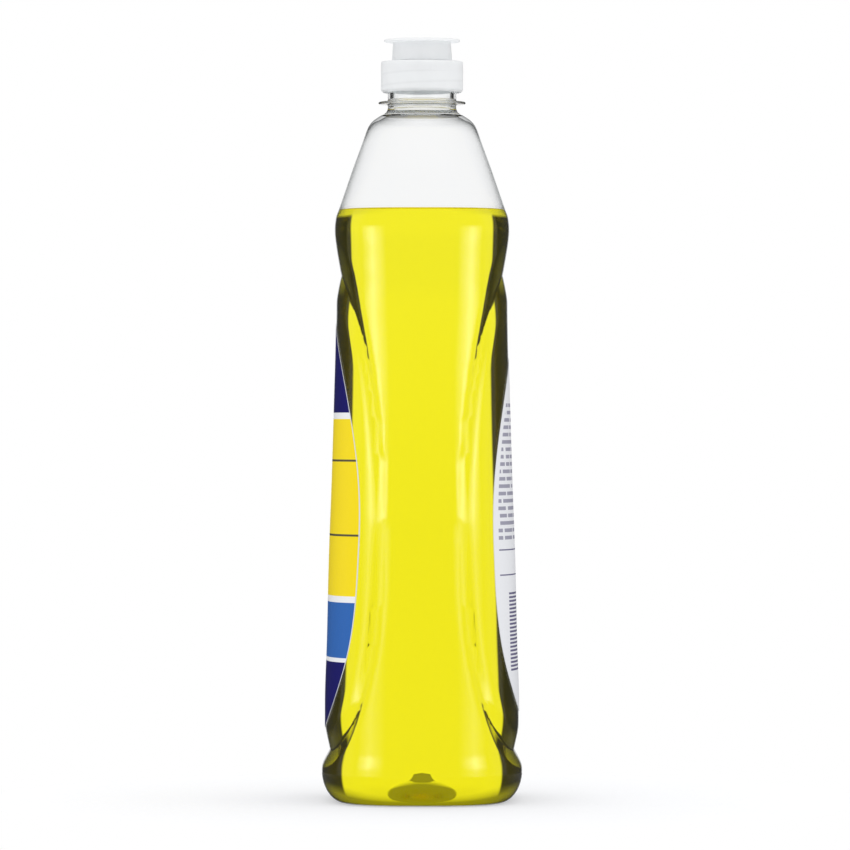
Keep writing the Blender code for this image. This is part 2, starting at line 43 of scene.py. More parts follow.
# Blown body, the same sizes as in the solids, in metres
BODY_HEIGHT = 0.2553
BODY_DEPTH = 0.0744
BODY_WIDTH = 0.0988
FOOT_DEPTH = 0.0590
FOOT_WIDTH = 0.0864
FOOT_BAND = 0.0036
HEEL_HEIGHT = 0.0115
PUSH_UP_HEIGHT = 0.0085
GATE_RADIUS = 0.0028
GATE_HEIGHT = 0.0012
GATE_SPREAD = 1.2

# Oval panel and its valley
PANEL_MIDDLE = 0.1040
PANEL_TOP = 0.1945
PANEL_BOTTOM = 0.0190
PANEL_WRAP = math.radians(72.7)
VALLEY_DEPTH = 0.0020
VALLEY_SHALLOWEST = 0.0004
PANEL_UPPER_POWER = 2.2
PANEL_LOWER_POWER = 2.8
VALLEY_ABOVE_SHARE = 0.175
VALLEY_BELOW_SHARE = 0.075
VALLEY_INNER_SHARE = 0.105
VALLEY_FADE_POWER = 0.7
VALLEY_NARROWEST = 0.20
VALLEY_NARROWING_POWER = 1.7
VALLEY_SOFTNESS = 1.3

# Neck finish with its thread
NECK_RADIUS = 0.0127
NECK_ROOT_RADIUS = 0.0135
BORE_RADIUS = 0.0109
LIP_TOP = 0.2712
RING_RADIUS = 0.0162
RING_THICKNESS = 0.0009
RING_TOP = 0.2593
THREAD_PITCH = 0.0042328
THREAD_START = 0.0047
THREAD_TURNS = 1.30
THREAD_HEIGHT = 0.0010
THREAD_FLAT = 0.0009
THREAD_FLANK = 0.0004
THREAD_RUNOUT = 0.07
CAP_THREAD_START = RING_TOP + THREAD_START + THREAD_PITCH / 2.0
CAP_THREAD_HEIGHT = 0.0009
CAP_THREAD_FLAT = 0.0007
LIP_ROUNDING = 0.0005
BORE_ROUNDING = 0.0004

# Walls as they look: a thin film over the soap, and solid plastic at the neck
FILM_WALL = 0.00025
SOAP_GAP = 0.00002
SOLID_FROM = 0.2541
THICKENS_FROM = 0.2480
THICKENING_POWER = 3.0
JOINS_BORE_FROM = 0.2543
FILL_HEIGHT = 0.2188
MENISCUS_RISE = 0.0009
MENISCUS_REACH = 0.0008
SOAP_LEVEL = FILL_HEIGHT - MENISCUS_RISE

# Rings of the soap's surface: reach from the wall, then shares of the last one
MENISCUS_RINGS = (0.0002, 0.0005, 0.0009, 0.0014, 0.0022, 0.0034, 0.0060)
SURFACE_SHARES = (0.6, 0.25)

# Labels: each one's size is its half width, top and bottom
FRONT_LABEL_SIZE = (0.0428, 0.1770, 0.0270)
BACK_LABEL_SIZE = (0.0396, 0.1640, 0.0330)
LABEL_MIDDLE = 0.0900
LABEL_LIFT = 0.00005
LABEL_THICKNESS = 0.0001
LABEL_UPPER_POWER = 2.25
LABEL_LOWER_POWER = 2.9

# Closure
DECK_TOP = 0.2743
DECK_BOTTOM = 0.2727
COLLAR_BOTTOM = 0.2628
COLLAR_RADIUS = 0.01525
SKIRT_BORE = 0.0141
TURRET_RADIUS = 0.0092
TURRET_BORE = 0.0080
TURRET_BEAD = 0.0005
TURRET_BEAD_HEIGHT = 0.0007
TURRET_TOP = 0.2811
PLUG_TOP = 0.2820
PLUG_SHOULDER = 0.2797
PLUG_RADIUS = 0.0019
PLUG_TIP_RADIUS = 0.0015
PLUG_SHANK_RADIUS = 0.0029
SPOKE_COUNT = 3
SPOKE_WIDTH = 0.0016
SPOKE_HEIGHT = 0.0026
SPOKE_RISE = 0.0003
LINER_BOTTOM = 0.2715
LINER_TOP = 0.2724
LINER_BORE = 0.0100
LINER_RADIUS = 0.0138
SPOUT_BOTTOM = 0.2746
SPOUT_TOP = 0.2825
SPOUT_PLATE_BOTTOM = 0.2814
SPOUT_TOP_RADIUS = 0.0107
SPOUT_FOOT_RADIUS = 0.0112
SPOUT_BORE = 0.0100
SPOUT_FOOT_BORE = 0.0095
SPOUT_BEAD_TOP = 0.2754
FLANGE_RADIUS = 0.0141
FLANGE_THICKNESS = 0.0009
ORIFICE_RADIUS = 0.0022
TUBE_RADIUS = 0.0033
TUBE_BOTTOM = 0.2800

# Grid of the body: columns in a quarter, of which the first ones lie on the panel
COLUMNS = 40
PANEL_COLUMNS = 30
COLUMN_SPREAD = 1.4
FIRST_MOVED_COLUMN = 4
LOWER_CREASE_COLUMN = 8
UPPER_CREASE_COLUMN = 5

# Rows of the body: counts, and the largest steps between heights
DOME_ROWS = 22
DOME_FIRST_SHARE = 0.14
HEEL_ROWS = 15
FOOT_STEP = 0.0007
PANEL_STEP = 0.0022
SHOULDER_STEP = 0.0010
MARK_BELOW_FILL = 0.006

# Grids of the labels and of turned forms
LABEL_ROWS = 97
LABEL_HALF_COLUMNS = 33
LABEL_TIP_ANGLE = 0.02
LABEL_EDGE_CROWDING = 1.35
TURN_STEPS = 128
ROUNDING_STEPS = 4
RING_STEPS = 8
LIP_STEPS = 5

# Outline of the body: height, depth and width as shares of the body's, and the section's squareness
hull_shares = np.array((
    (0.0450, 1.000, 1.000, 3.0),
    (0.0530, 0.997, 0.998, 3.0),
    (0.0745, 0.972, 0.992, 3.0),
    (0.0920, 0.966, 0.989, 3.0),
    (0.1450, 0.965, 0.988, 3.0),
    (0.2310, 0.946, 0.988, 3.0),
    (0.3490, 0.927, 0.976, 3.0),
    (0.4660, 0.898, 0.950, 3.0),
    (0.5840, 0.874, 0.914, 3.0),
    (0.6700, 0.858, 0.882, 3.1),
    (0.7290, 0.853, 0.858, 3.2),
    (0.7750, 0.862, 0.845, 3.2),
    (0.8300, 0.871, 0.830, 3.2),
    (0.8460, 0.861, 0.812, 3.1),
    (0.8580, 0.832, 0.786, 3.0),
    (0.8740, 0.794, 0.752, 2.9),
    (0.9180, 0.691, 0.642, 2.7),
    (0.9600, 0.586, 0.512, 2.4),
    (0.9770, 0.543, 0.448, 2.2),
    (0.9860, 0.505, 0.398, 2.1),
    (0.9930, 0.445, 0.338, 2.0),
))

# Profile of the push-up: reach from its middle and height, as shares of its size
dome_shares = np.array(((0.0, 1.0), (0.12, 1.0), (0.40, 0.90), (0.61, 0.47), (0.77, 0.12), (1.0, 0.0)))

# Clear wall as it looks: painted shade darkens it where it is seen edge-on, growing from light to dark
# between the first two heights
DARKENS_FROM = 0.2440
DARK_FROM = 0.2500
THIN_EDGE_POWER = 9.0
THICK_EDGE_POWER = 5.6
THIN_EDGE_PAINTED_SHADE = (0.75, 0.76, 0.76)
THICK_EDGE_PAINTED_SHADE = (0.18, 0.19, 0.19)
FILM_TONE = (0.986, 0.988, 0.990)
GLOSS_ABOVE_SOAP = 0.4
GLOSS_FADE = 0.002

# Closure's plastic, and painted shade where the thread shows through its skirt
CAP_ROUGHNESS = 0.42
THREAD_SHADE = 0.05
THREAD_SHADE_WIDTH = 0.16
THREAD_SHADE_HEIGHTS = (COLLAR_BOTTOM + 0.0012, DECK_BOTTOM - 0.0022)

# Painted light: the labels' inner sides glow in place of the light that reaches them through the soap
HIDDEN_PAINTED_LIGHT = 0.45

# Fields of colour on the labels: the height at which each begins
NAVY = (0.012, 0.011, 0.135)
FIELD_YELLOW = (0.93, 0.72, 0.012)
FIELD_WHITE = (0.85, 0.86, 0.88)
FIELD_BLUE = (0.032, 0.138, 0.455)
FIELD_PALE = (0.80, 0.81, 0.84)
RULE_DARK = (0.10, 0.09, 0.06)
front_fields = (
    (0.0, NAVY),
    (0.0518, FIELD_WHITE),
    (0.0536, FIELD_BLUE),
    (0.0741, FIELD_WHITE),
    (0.0763, FIELD_YELLOW),
    (0.0984, RULE_DARK),
    (0.0988, FIELD_YELLOW),
    (0.1256, RULE_DARK),
    (0.1260, FIELD_YELLOW),
    (0.1414, FIELD_WHITE),
    (0.1431, NAVY),
)
back_fields = ((0.0, FIELD_PALE),)
FIELDS_HEIGHT = 0.2
BORDER_WIDTH = 0.00022

# Rows, rules and bars that stand for the back label's print
TEXT_STEP = 0.0027
TEXT_HEIGHTS = (0.0960, 0.1485)
WORDS_PER_METRE = 260.0
WORD_THRESHOLD = 0.40
RULES = ((0.0932, 0.0937), (0.0840, 0.0845))
BAR_STEP = 0.0014
BAR_HEIGHTS = (0.0490, 0.0778)
BAR_SIDES = (0.0120, 0.0300)
PRINT_MARGIN = 0.0026
INK = (0.10, 0.09, 0.20)

# Camera: the photograph's angle, distance and framing
CAMERA_DISTANCE = 2.2
CAMERA_SIDE = 0.0011
CAMERA_HEIGHT = 0.1392
FRAME_WIDTH = 0.3162
SENSOR_WIDTH = 36.0

# Floor, and the edges of the tent's parts: elevations in degrees, from none to all
FLOOR_RADIUS = 0.165
FLOOR_STEPS = 96
FLOOR_GLOW = 0.47
BRIGHTEST = 5.0
BOX_TOP = (17.0, 6.0)
BOX_BOTTOM = (-24.0, -18.0)
DIMMED_TOP = (6.0, 2.6)
DIMMED_BOTTOM = (-18.0, -12.0)
DIMMING = 0.75
ABOVE_BACKDROP = (3.5, 16.0)
ABOVE_LEVEL = 0.34
BELOW_BACKDROP = (-9.0, -13.0)
BELOW_LEVEL = 0.90
CEILING = (55.0, 66.0)
CEILING_LEVEL = 0.9
PLAIN_LEVEL = 1.03
PLAIN_FALL = 0.10


# Shape of the body

def ease(at, column, shares=hull_shares):
    """Smooth values of one column of a table, without overshoot."""
    places = shares[:, 0]
    values = shares[:, column]
    spans = np.diff(places)
    slopes = np.diff(values) / spans
    product = slopes[:-1] * slopes[1:]
    total = np.where(product > 0.0, slopes[:-1] + slopes[1:], 1.0)
    bends = np.concatenate(([slopes[0]], np.where(product > 0.0, 2.0 * product / total, 0.0), [slopes[-1]]))
    index = np.clip(np.searchsorted(places, at) - 1, 0, len(spans) - 1)
    span = spans[index]
    t = (at - places[index]) / span
    return (values[index] * (1.0 + 2.0 * t) * (1.0 - t) ** 2 + values[index + 1] * t * t * (3.0 - 2.0 * t)
            + bends[index] * span * t * (1.0 - t) ** 2 - bends[index + 1] * span * t * t * (1.0 - t))


def hull_section(heights):
    """Half depth, half width and squareness of the body at each height."""
    share = heights / BODY_HEIGHT
    depth = BODY_DEPTH * ease(share, 1) / 2.0
    width = BODY_WIDTH * ease(share, 2) / 2.0
    squareness = ease(share, 3)
    turn = np.sqrt(np.clip(1.0 - (1.0 - heights / HEEL_HEIGHT) ** 2, 0.0, 1.0))
    heel = heights < HEEL_HEIGHT
    depth = np.where(heel, (FOOT_DEPTH + (BODY_DEPTH - FOOT_DEPTH) * turn) / 2.0, depth)
    width = np.where(heel, (FOOT_WIDTH + (BODY_WIDTH - FOOT_WIDTH) * turn) / 2.0, width)
    squareness = np.where(heel, hull_shares[0, 3], squareness)
    last = hull_shares[-1]
    blend = np.clip((share - last[0]) / (1.0 - last[0]), 0.0, 1.0)
    root = share > last[0]
    last_depth, last_width = BODY_DEPTH * last[1] / 2.0, BODY_WIDTH * last[2] / 2.0
    depth = np.where(root, last_depth + (NECK_ROOT_RADIUS - last_depth) * blend, depth)
    width = np.where(root, last_width + (NECK_ROOT_RADIUS - last_width) * blend, width)
    return depth, width, np.where(root, last[3], squareness)


def panel_place(heights):
    """Share of the panel's half at each height, and the outline's power there."""
    above = heights >= PANEL_MIDDLE
    place = np.where(above, (heights - PANEL_MIDDLE) / (PANEL_TOP - PANEL_MIDDLE),
                     (PANEL_MIDDLE - heights) / (PANEL_MIDDLE - PANEL_BOTTOM))
    return place, np.where(above, PANEL_UPPER_POWER, PANEL_LOWER_POWER)


def valley(heights, angles):
    """Depth of the valley below the hull."""
    place, power = panel_place(heights)
    reach = ((angles / PANEL_WRAP) ** power + place ** power) ** (1.0 / power)
    narrowed = np.maximum(VALLEY_NARROWEST, np.minimum(1.0, place) ** VALLEY_NARROWING_POWER)
    outer = np.where(heights >= PANEL_MIDDLE, VALLEY_ABOVE_SHARE * narrowed, VALLEY_BELOW_SHARE)
    slope = np.where(reach > 1.0, outer, VALLEY_INNER_SHARE)
    near = np.clip(1.0 - np.abs(reach - 1.0) / slope, 0.0, 1.0) ** VALLEY_SOFTNESS
    fade = np.minimum(1.0, place) ** VALLEY_FADE_POWER
    return (VALLEY_SHALLOWEST + (VALLEY_DEPTH - VALLEY_SHALLOWEST) * fade) * near


def hull_points(heights, angles):
    """Points of the body's skin in the quarter towards +X and +Y."""
    depth, width, squareness = hull_section(heights)
    x = width * np.clip(np.sin(angles), 0.0, 1.0) ** (2.0 / squareness)
    y = depth * np.clip(np.cos(angles), 0.0, 1.0) ** (2.0 / squareness)
    out_x = (x / width) ** (squareness - 1.0) / width
    out_y = (y / depth) ** (squareness - 1.0) / depth
    length = np.hypot(out_x, out_y)
    sunk = valley(heights, angles)
    return np.stack((x - out_x / length * sunk, y - out_y / length * sunk, heights), axis=-1)


def column_shares():
    return (np.arange(PANEL_COLUMNS + 1) / PANEL_COLUMNS) ** COLUMN_SPREAD


def plain_angles():
    strip = COLUMNS - PANEL_COLUMNS
    along = 1.0 - (1.0 - np.arange(1, strip + 1) / strip) ** COLUMN_SPREAD
    return np.concatenate((PANEL_WRAP * column_shares(), PANEL_WRAP + (math.pi / 2.0 - PANEL_WRAP) * along))


def crease_heights(first_column, rising):
    """Heights at which the crease crosses the grid's columns, from the narrow side inwards."""
    shares = column_shares()[first_column:PANEL_COLUMNS][::-1]
    if rising:
        reach, power = PANEL_TOP - PANEL_MIDDLE, PANEL_UPPER_POWER
    else:
        reach, power = PANEL_BOTTOM - PANEL_MIDDLE, PANEL_LOWER_POWER
    return PANEL_MIDDLE + reach * (1.0 - shares ** power) ** (1.0 / power)


def filled(marks, step):
    """A rising row of heights with more between, so that no gap is larger than the step."""
    made = [marks[0]]
    for low, high in zip(marks, marks[1:]):
        count = max(1, math.ceil((high - low) / step))
        made += [low + (high - low) * (number + 1) / count for number in range(count)]
    return made


def body_heights():
    heel = HEEL_HEIGHT * (1.0 - np.cos(np.linspace(0.0, math.pi / 2.0, HEEL_ROWS)))
    lower = list(crease_heights(LOWER_CREASE_COLUMN, False)[::-1]) + [PANEL_MIDDLE]
    upper = [PANEL_MIDDLE] + list(crease_heights(UPPER_CREASE_COLUMN, True)) + [PANEL_TOP]
    marks = filled([HEEL_HEIGHT, PANEL_BOTTOM], FOOT_STEP)[1:]
    marks += filled(lower, PANEL_STEP)
    marks += filled(upper, PANEL_STEP)[1:]
    marks += filled([PANEL_TOP, FILL_HEIGHT - MARK_BELOW_FILL, FILL_HEIGHT, BODY_HEIGHT],
                    SHOULDER_STEP)[1:]
    return np.concatenate((heel, np.array(marks)))


def grid_angles(heights):
    """Angles of each row's columns, one of them moved onto the crease."""
    rows = np.repeat(plain_angles()[None, :], len(heights), axis=0)
    place, power = panel_place(heights)
    for row, (share, bend) in enumerate(zip(place, power)):
        if share < 1.0:
            crease = PANEL_WRAP * (1.0 - share ** bend) ** (1.0 / bend)
            column = int(np.argmin(np.abs(plain_angles()[:PANEL_COLUMNS + 1] - crease)))
            if column >= FIRST_MOVED_COLUMN:
                rows[row, column] = crease
    return rows


def whole_ring(quarter):
    """Mirrors quarter rows into whole rings that run from +Y round through +X."""
    half = np.concatenate((quarter[:, :COLUMNS], quarter[:, COLUMNS:0:-1] * (1.0, -1.0, 1.0)), axis=1)
    return np.concatenate((half, half * (-1.0, -1.0, 1.0)), axis=1)


def oval_rows(heights, depths, widths, squareness):
    """Rings with plain superellipse sections."""
    angles = np.repeat(plain_angles()[None, :], len(heights), axis=0)
    power = 2.0 / np.asarray(squareness, float)[:, None]
    x = np.asarray(widths, float)[:, None] * np.clip(np.sin(angles), 0.0, 1.0) ** power
    y = np.asarray(depths, float)[:, None] * np.clip(np.cos(angles), 0.0, 1.0) ** power
    z = np.repeat(np.asarray(heights, float)[:, None], angles.shape[1], axis=1)
    return whole_ring(np.stack((x, y, z), axis=-1))


def round_rows(profile):
    """Rings with round sections, from pairs of height and radius."""
    heights, radii = np.array(profile).T
    return oval_rows(heights, radii, radii, np.full(len(radii), 2.0))


def base_grid():
    """The push-up from its crown to the foot's flat band."""
    shares = np.linspace(DOME_FIRST_SHARE, 1.0, DOME_ROWS)
    squareness = hull_shares[0, 3]
    depth = FOOT_DEPTH / 2.0 - FOOT_BAND
    width = FOOT_WIDTH / 2.0 - FOOT_BAND
    heights = list(PUSH_UP_HEIGHT * ease(shares, 1, dome_shares))
    return oval_rows([PUSH_UP_HEIGHT] + heights, [GATE_RADIUS] + list(depth * shares),
                     [GATE_RADIUS] + list(width * shares), [2.0] + list(2.0 + (squareness - 2.0) * shares))


def body_grid():
    heights = body_heights()
    angles = grid_angles(heights)
    return whole_ring(hull_points(np.repeat(heights[:, None], angles.shape[1], axis=1), angles))


def thread_ridge(turn, heights, first, crest, flat):
    """Height of a right-hand helical ridge at an angle and a height."""
    along = (heights - first) / THREAD_PITCH - turn / (2.0 * math.pi)
    lap = np.round(along)
    off = np.abs(along - lap) * THREAD_PITCH
    done = lap + turn / (2.0 * math.pi)
    starts = np.clip(done / THREAD_RUNOUT, 0.0, 1.0)
    ends = np.clip((THREAD_TURNS - done) / THREAD_RUNOUT, 0.0, 1.0)
    flank = np.clip((flat / 2.0 + THREAD_FLANK - off) / THREAD_FLANK, 0.0, 1.0)
    return crest * flank * (starts * ends)


def quarter_turns():
    return [math.pi / 2.0 * step / LIP_STEPS for step in range(LIP_STEPS + 1)]


def neck_grid():
    """Outside of the neck: root fillet, support ring, thread and lip."""
    ring_bottom = RING_TOP - RING_THICKNESS
    profile = [(BODY_HEIGHT + 0.0004, NECK_ROOT_RADIUS - 0.0003),
               (BODY_HEIGHT + 0.0010, NECK_RADIUS + 0.0002), (BODY_HEIGHT + 0.0018, NECK_RADIUS),
               (ring_bottom - 0.0005, NECK_RADIUS), (ring_bottom - 0.0002, NECK_RADIUS + 0.0002),
               (ring_bottom, NECK_RADIUS + 0.0008)]
    half = RING_THICKNESS / 2.0
    for step in range(RING_STEPS + 1):
        turn = math.pi * (step / RING_STEPS - 0.5)
        profile.append((RING_TOP - half + half * math.sin(turn), RING_RADIUS - half * (1.0 - math.cos(turn))))
    profile += [(RING_TOP + 0.0001, NECK_RADIUS + 0.0010), (RING_TOP + 0.0004, NECK_RADIUS + 0.0003),
                (RING_TOP + 0.0009, NECK_RADIUS)]
    thread_heights = np.arange(RING_TOP + 0.0011, LIP_TOP - 0.0006, 0.0002)
    profile += [(height, NECK_RADIUS) for height in thread_heights]
    profile += [(LIP_TOP - LIP_ROUNDING + LIP_ROUNDING * math.sin(turn),
                 NECK_RADIUS - LIP_ROUNDING * (1.0 - math.cos(turn))) for turn in quarter_turns()]
    rows = round_rows(profile)
    turns = np.mod(np.arctan2(rows[..., 1], rows[..., 0]), 2.0 * math.pi)
    raised = thread_ridge(turns, rows[..., 2], RING_TOP + THREAD_START, THREAD_HEIGHT, THREAD_FLAT)
    raised *= rows[..., 2] > RING_TOP + 0.0005
    grown = 1.0 + raised / np.hypot(rows[..., 0], rows[..., 1])
    return rows * np.stack((grown, grown, np.ones_like(grown)), axis=-1)


def bore_grid():
    """Inside of the neck, from the lip down."""
    profile = [(LIP_TOP - BORE_ROUNDING * (1.0 - math.cos(turn)),
                BORE_RADIUS + BORE_ROUNDING * (1.0 - math.sin(turn))) for turn in quarter_turns()]
    profile += [(height, BORE_RADIUS) for height in (LIP_TOP - 0.004, LIP_TOP - 0.009, BODY_HEIGHT)]
    return round_rows(profile)


def grid_normals(rows):
    """Outward unit normals of a grid of closed rings."""
    round_step = np.roll(rows, -1, axis=1) - np.roll(rows, 1, axis=1)
    up_step = np.gradient(rows, axis=0)
    normals = np.cross(up_step, round_step)
    return normals / np.maximum(np.linalg.norm(normals, axis=-1, keepdims=True), 1e-12)


def inner_skin(extra):
    """The body's inside: the outside moved in by the wall, thick at the neck, and by a further gap."""
    rows = np.concatenate((base_grid(), body_grid()), axis=0)
    height = rows[:, :1, 2:3]
    base_count = len(base_grid())
    thick = np.clip((height - THICKENS_FROM) / (BODY_HEIGHT - THICKENS_FROM), 0.0, 1.0) ** THICKENING_POWER
    wall = FILM_WALL + (NECK_ROOT_RADIUS - BORE_RADIUS - FILM_WALL) * thick + extra
    inner = rows - grid_normals(rows) * wall
    spread = np.hypot(rows[:base_count, :, 0], rows[:base_count, :, 1])
    inner[:base_count, :, 2] += GATE_HEIGHT * np.exp(-(spread / (GATE_RADIUS * GATE_SPREAD)) ** 4)
    join = int(np.argmax(rows[:, 0, 2] * (np.arange(len(rows)) > base_count) > JOINS_BORE_FROM))
    bore = round_rows([(BODY_HEIGHT, BORE_RADIUS - extra)])[0]
    for row in range(join, len(rows)):
        share = (row - join + 1) / (len(rows) - join)
        inner[row] = inner[join - 1] * (1.0 - share) + bore * share
    return inner


# Meshes

def grid_faces(rows, start, outward):
    """Triangles between rings, their long edges along the crease."""
    count = rows.shape[1]
    index = np.arange(count)
    after = (index + 1) % count
    towards_side = index % (2 * COLUMNS) < COLUMNS
    faces = []
    for band in range(len(rows) - 1):
        low = start + band * count
        high = low + count
        along = towards_side if rows[band, 0, 2] >= PANEL_MIDDLE else ~towards_side
        faces.append(np.stack((low + index, low + after, np.where(along, high + index, high + after)), 1))
        faces.append(np.stack((np.where(along, high + index, low + index),
                               np.where(along, low + after, high + after),
                               np.where(along, high + after, high + index)), 1))
    made = np.concatenate(faces)
    return made[:, ::-1] if outward else made


def fan_faces(ring_start, count, centre, outward):
    index = np.arange(count)
    made = np.stack((np.full(count, centre), ring_start + index, ring_start + (index + 1) % count), 1)
    return made if outward else made[:, ::-1]


def place_object(name, data):
    made = bpy.data.objects.new(name, data)
    scene.collection.objects.link(made)
    return made


def add_piece(name, vertices, faces, materials, sharp=math.radians(38.0), slots=None):
    mesh = bpy.data.meshes.new(name)
    mesh.from_pydata([tuple(point) for point in vertices], [], [tuple(face) for face in faces])
    mesh.validate()
    mesh.update()
    for material in materials:
        mesh.materials.append(material)
    if slots is not None:
        mesh.polygons.foreach_set("material_index", slots)
    mesh.shade_smooth()
    mesh.set_sharp_from_angle(angle=sharp)
    return place_object(name, mesh)


def build_bottle(film, solid):
    outside = np.concatenate((base_grid(), body_grid(), neck_grid()), axis=0)
    skin = inner_skin(0.0)
    bore = bore_grid()[::-1]
    inside = np.concatenate((skin, bore), axis=0)
    count = outside.shape[1]
    inner_start = len(outside) * count
    total = inner_start + len(inside) * count
    crowns = ((0.0, 0.0, PUSH_UP_HEIGHT), (0.0, 0.0, PUSH_UP_HEIGHT + FILM_WALL + GATE_HEIGHT))
    points = np.concatenate((outside.reshape(-1, 3), inside.reshape(-1, 3), crowns))
    outer_lip = (len(outside) - 1) * count
    inner_lip = inner_start + (len(inside) - 1) * count
    index = np.arange(count)
    after = (index + 1) % count
    lip = np.concatenate((np.stack((outer_lip + index, inner_lip + index, outer_lip + after), 1),
                          np.stack((inner_lip + index, inner_lip + after, outer_lip + after), 1)))
    faces = np.concatenate((grid_faces(outside, 0, True), grid_faces(inside, inner_start, False), lip,
                            fan_faces(0, count, total, True),
                            fan_faces(inner_start, count, total + 1, False)))
    levels = np.concatenate((outside[..., 2].ravel(), outside[:len(skin), :, 2].ravel(),
                             bore[..., 2].ravel(), (0.0, 0.0)))
    slots = (levels[faces].min(axis=1) > SOLID_FROM).astype(np.int32)
    return add_piece("bottle_shell", points, faces, (film, solid), slots=slots)


def level_ring(rows, height):
    """Where the columns of a skin cross a height."""
    last = rows[-len(body_grid()):]
    ring = np.full((rows.shape[1], 3), height)
    for column in range(rows.shape[1]):
        rising = np.maximum.accumulate(last[:, column, 2])
        for axis in (0, 1):
            ring[column, axis] = np.interp(height, rising, last[:, column, axis])
    return ring


def build_soap(material):
    skin = inner_skin(SOAP_GAP)
    base_count = len(base_grid())
    margin = 0.0004
    rows = [row for number, row in enumerate(skin)
            if number < base_count or row[:, 2].max() < SOAP_LEVEL - margin]
    rim = level_ring(skin, FILL_HEIGHT)
    rows += [level_ring(skin, SOAP_LEVEL), rim]
    around = np.roll(rim, -1, axis=0) - np.roll(rim, 1, axis=0)
    inward = np.stack((around[:, 1], -around[:, 0], np.zeros(len(rim))), 1)
    inward /= np.linalg.norm(inward, axis=1, keepdims=True)
    if np.sum(inward * rim * (1.0, 1.0, 0.0)) > 0.0:
        inward = -inward
    for reach in MENISCUS_RINGS:
        ring = rim + inward * reach
        ring[:, 2] = SOAP_LEVEL + MENISCUS_RISE * math.exp(-reach / MENISCUS_REACH)
        rows.append(ring)
    for share in SURFACE_SHARES:
        rows.append(rows[-1] * (share, share, 1.0))
        rows[-1][:, 2] = SOAP_LEVEL
    rows = np.array(rows)
    count = rows.shape[1]
    total = rows.shape[0] * count
    ends = np.array([(0.0, 0.0, PUSH_UP_HEIGHT + FILM_WALL + SOAP_GAP + GATE_HEIGHT), (0.0, 0.0, SOAP_LEVEL)])
    faces = np.concatenate((grid_faces(rows, 0, True), fan_faces(0, count, total, True),
                            fan_faces((len(rows) - 1) * count, count, total + 1, False)))
    return add_piece("soap_fill", np.concatenate((rows.reshape(-1, 3), ends)), faces, (material,),
                     sharp=math.radians(60.0))


def mark_border(mesh, outline):
    """Stores every point's distance from the label's border, seen from the front."""
    loop = np.concatenate((outline[:, 0], outline[::-1, 1]))
    flat = np.array([(vertex.co.x, vertex.co.z) for vertex in mesh.vertices])
    near = np.full(len(flat), 1.0)
    for start, end in zip(loop, np.roll(loop, -1, axis=0)):
        run = end - start
        along = np.clip(((flat - start) @ run) / max(run @ run, 1e-12), 0.0, 1.0)
        near = np.minimum(near, np.linalg.norm(flat - start - along[:, None] * run, axis=1))
    distance = mesh.attributes.new("from_border", "FLOAT", "POINT")
    distance.data.foreach_set("value", near)


def label_points(size):
    """Points of a label on the panel, in rows from its foot up."""
    half_width, top, bottom = size
    last_turn = math.pi / 2.0 - LABEL_TIP_ANGLE
    turns = np.linspace(-last_turn, last_turn, LABEL_ROWS)
    rise = np.where(np.sin(turns) >= 0.0, top - LABEL_MIDDLE, LABEL_MIDDLE - bottom)
    power = np.where(np.sin(turns) >= 0.0, LABEL_UPPER_POWER, LABEL_LOWER_POWER)
    heights = LABEL_MIDDLE + np.sign(np.sin(turns)) * np.abs(np.sin(turns)) ** (2.0 / power) * rise
    reach = half_width * np.cos(turns) ** (2.0 / power)
    width, squareness = hull_section(heights)[1:]
    edge = np.arcsin(np.clip(reach / width, 0.0, 1.0) ** (squareness / 2.0))
    share = np.linspace(-1.0, 1.0, 2 * LABEL_HALF_COLUMNS + 1)
    share = np.sign(share) * (1.0 - (1.0 - np.abs(share)) ** LABEL_EDGE_CROWDING)
    angles = edge[:, None] * np.abs(share[None, :]) ** COLUMN_SPREAD
    points = hull_points(np.repeat(heights[:, None], len(share), axis=1), angles)
    points[..., 0] *= np.sign(share)[None, :]
    return points


def build_label(name, side, size, print_side, hidden_side):
    """A thin oval film that follows the panel."""
    points = label_points(size)
    normals = np.cross(np.gradient(points, axis=1), np.gradient(points, axis=0))
    normals /= np.linalg.norm(normals, axis=-1, keepdims=True)
    if normals[LABEL_ROWS // 2, LABEL_HALF_COLUMNS, 1] < 0.0:
        normals = -normals
    sheets = [points + normals * LABEL_LIFT, points + normals * (LABEL_LIFT + LABEL_THICKNESS)]
    vertices = np.concatenate([(sheet * (1.0, side, 1.0)).reshape(-1, 3) for sheet in sheets])
    wide = points.shape[1]
    total = LABEL_ROWS * wide
    starts = [row * wide + step for row in range(LABEL_ROWS - 1) for step in range(wide - 1)]
    quads = [(start, start + 1, start + wide + 1, start + wide) for start in starts]
    border = (list(range(wide)) + [row * wide + wide - 1 for row in range(1, LABEL_ROWS)]
              + [(LABEL_ROWS - 1) * wide + step for step in range(wide - 2, -1, -1)]
              + [row * wide for row in range(LABEL_ROWS - 2, 0, -1)])
    rim = [(a, b, b + total, a + total) for a, b in zip(border, border[1:] + border[:1])]
    outer = [tuple(corner + total for corner in quad[::-1]) for quad in quads]
    slots = [1] * len(quads) + [0] * (len(outer) + len(rim))
    label = add_piece(name, vertices, quads + outer + rim, (print_side, hidden_side), slots=slots)
    mark_border(label.data, points[:, (0, -1)][:, :, (0, 2)])
    recalculate(label.data)
    return label


def recalculate(mesh):
    form = bmesh.new()
    form.from_mesh(mesh)
    bmesh.ops.recalc_face_normals(form, faces=form.faces)
    form.to_mesh(mesh)
    form.free()


